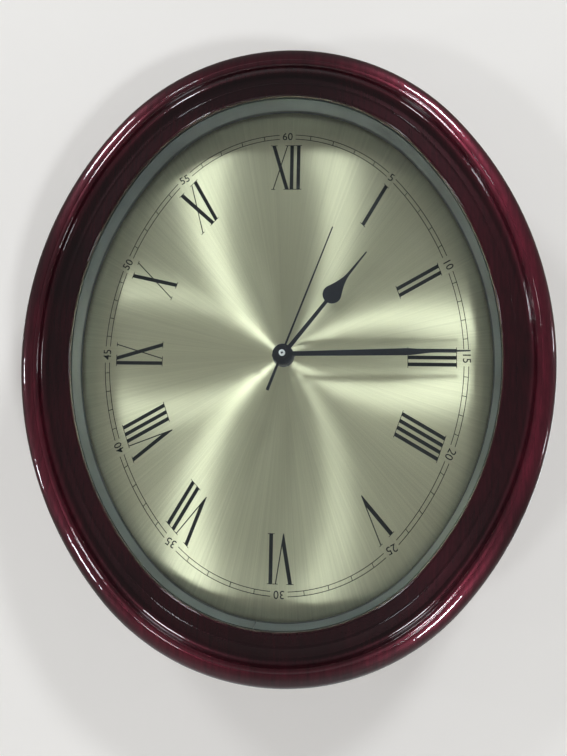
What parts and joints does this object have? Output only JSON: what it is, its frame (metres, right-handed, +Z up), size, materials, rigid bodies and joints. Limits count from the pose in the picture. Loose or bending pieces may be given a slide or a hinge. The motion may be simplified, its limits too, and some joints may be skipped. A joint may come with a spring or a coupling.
{
  "type": "wall clock",
  "caption": "Oval wall clock with a moulded glossy wooden frame, flat glass, Roman-numeral dial, hour, minute and seconds hands, and a boxed battery movement with its gear train.",
  "frame": {"origin": "the point where the axis of the hands meets the wall, in the plane of the frame's rear face", "axes": "+X to the right seen from the front, +Y into the wall, +Z up towards twelve; the dial faces -Y"},
  "size_m": [0.25, 0.0433, 0.3],
  "materials": {
    "frame_wood": "cherry red gloss lacquer",
    "pane": "clear, flat",
    "band_plastic": "satin grey-green",
    "dial_sheet": "sunray brushed, pale gold, clear lacquer",
    "hardboard": "smooth hardboard",
    "zinc_steel": "zinc plated",
    "screw_steel": "yellow zinc plated",
    "case_plastic": "fine texture",
    "washer_rubber": "matt",
    "bushing_brass": "turned",
    "blackened_brass": "blackened",
    "plate_plastic": "moulded",
    "stator_iron": "stamped",
    "copper_wire": "enamelled copper wire",
    "board_green": "solder resist",
    "chip_resin": "cast resin",
    "crystal_can": "drawn",
    "cell_can": "printed sleeve",
    "contact_steel": "nickel plated",
    "magnet_ferrite": "sintered",
    "wheel_plastic": "moulded",
    "arbor_steel": "ground",
    "wheel_brass": "satin",
    "knob_plastic": "knurled",
    "hand_black": "black lacquer",
    "collet_brass": "blackened",
    "tube_bright": "bright"
  },
  "bodies": {
    "case_body": {"frame": "frame_wood", "glass": "pane", "spacer_band": "band_plastic", "dial": "dial_sheet", "backing_board": "hardboard", "retaining_clips": "zinc_steel", "clip_screws": "screw_steel", "hanger_plate": "zinc_steel", "hanger_screws": "screw_steel", "movement_case": "case_plastic", "movement_cover": "case_plastic", "rubber_washer": "washer_rubber", "threaded_bushing": "bushing_brass", "nut_washer": "blackened_brass", "fixing_nut": "blackened_brass", "train_plate": "plate_plastic", "stator": "stator_iron", "coil_core": "stator_iron", "coil_bobbin": "plate_plastic", "coil_winding": "copper_wire", "circuit_board": "board_green", "ic_chip": "chip_resin", "quartz_crystal": "crystal_can", "battery": "cell_can", "positive_contact": "contact_steel", "negative_contact": "contact_steel"},
    "rotor": {"rotor_magnet": "magnet_ferrite", "rotor_pinion": "wheel_plastic"},
    "intermediate": {"intermediate_wheel": "wheel_plastic"},
    "seconds": {"second_wheel": "wheel_plastic", "second_arbor": "arbor_steel", "second_hand": "hand_black", "second_tube": "tube_bright"},
    "third": {"third_wheel": "wheel_plastic"},
    "centre": {"centre_wheel": "wheel_brass"},
    "minutes": {"cannon_pinion": "wheel_brass", "clutch_spring": "contact_steel", "minute_hand": "hand_black", "minute_collet": "collet_brass"},
    "motion_work": {"minute_wheel": "wheel_plastic"},
    "hours": {"hour_wheel": "wheel_brass", "hour_hand": "hand_black", "hour_collet": "collet_brass"},
    "setting": {"setting_knob": "knob_plastic"}
  },
  "joints": [
    {"name": "seconds_spin", "type": "hinge", "parent": "case_body", "child": "seconds", "pos_m": [0, -0.02, 0], "axis": [0, 1, 0], "continuous": true},
    {"name": "third_spin", "type": "hinge", "parent": "case_body", "child": "third", "pos_m": [-0.01224, -0.008, 0], "axis": [0, 1, 0], "continuous": true},
    {"name": "centre_spin", "type": "hinge", "parent": "case_body", "child": "centre", "pos_m": [0, -0.012, 0], "axis": [0, 1, 0], "continuous": true},
    {"name": "intermediate_spin", "type": "hinge", "parent": "case_body", "child": "intermediate", "pos_m": [0.00822, -0.006, 0.00299], "axis": [0, 1, 0], "continuous": true},
    {"name": "rotor_spin", "type": "hinge", "parent": "case_body", "child": "rotor", "pos_m": [0.01402, -0.006, 0.00455], "axis": [0, 1, 0], "continuous": true},
    {"name": "minutes_spin", "type": "hinge", "parent": "case_body", "child": "minutes", "pos_m": [0, -0.02, 0], "axis": [0, 1, 0], "continuous": true},
    {"name": "motion_work_spin", "type": "hinge", "parent": "case_body", "child": "motion_work", "pos_m": [0.0048, -0.015, -0.00831], "axis": [0, 1, 0], "continuous": true},
    {"name": "hours_spin", "type": "hinge", "parent": "case_body", "child": "hours", "pos_m": [0, -0.02, 0], "axis": [0, 1, 0], "continuous": true},
    {"name": "setting_spin", "type": "hinge", "parent": "case_body", "child": "setting", "pos_m": [0.01382, -0.008, -0.0116], "axis": [0, 1, 0], "continuous": true}
  ],
  "couplings": [
    {"joint": "third_spin", "follows": "seconds_spin", "ratio": -0.13333},
    {"joint": "centre_spin", "follows": "seconds_spin", "ratio": 0.016667},
    {"joint": "intermediate_spin", "follows": "seconds_spin", "ratio": -6},
    {"joint": "rotor_spin", "follows": "seconds_spin", "ratio": 30},
    {"joint": "motion_work_spin", "follows": "minutes_spin", "ratio": -0.33333},
    {"joint": "hours_spin", "follows": "minutes_spin", "ratio": 0.083333},
    {"joint": "setting_spin", "follows": "minutes_spin", "ratio": 1}
  ]
}
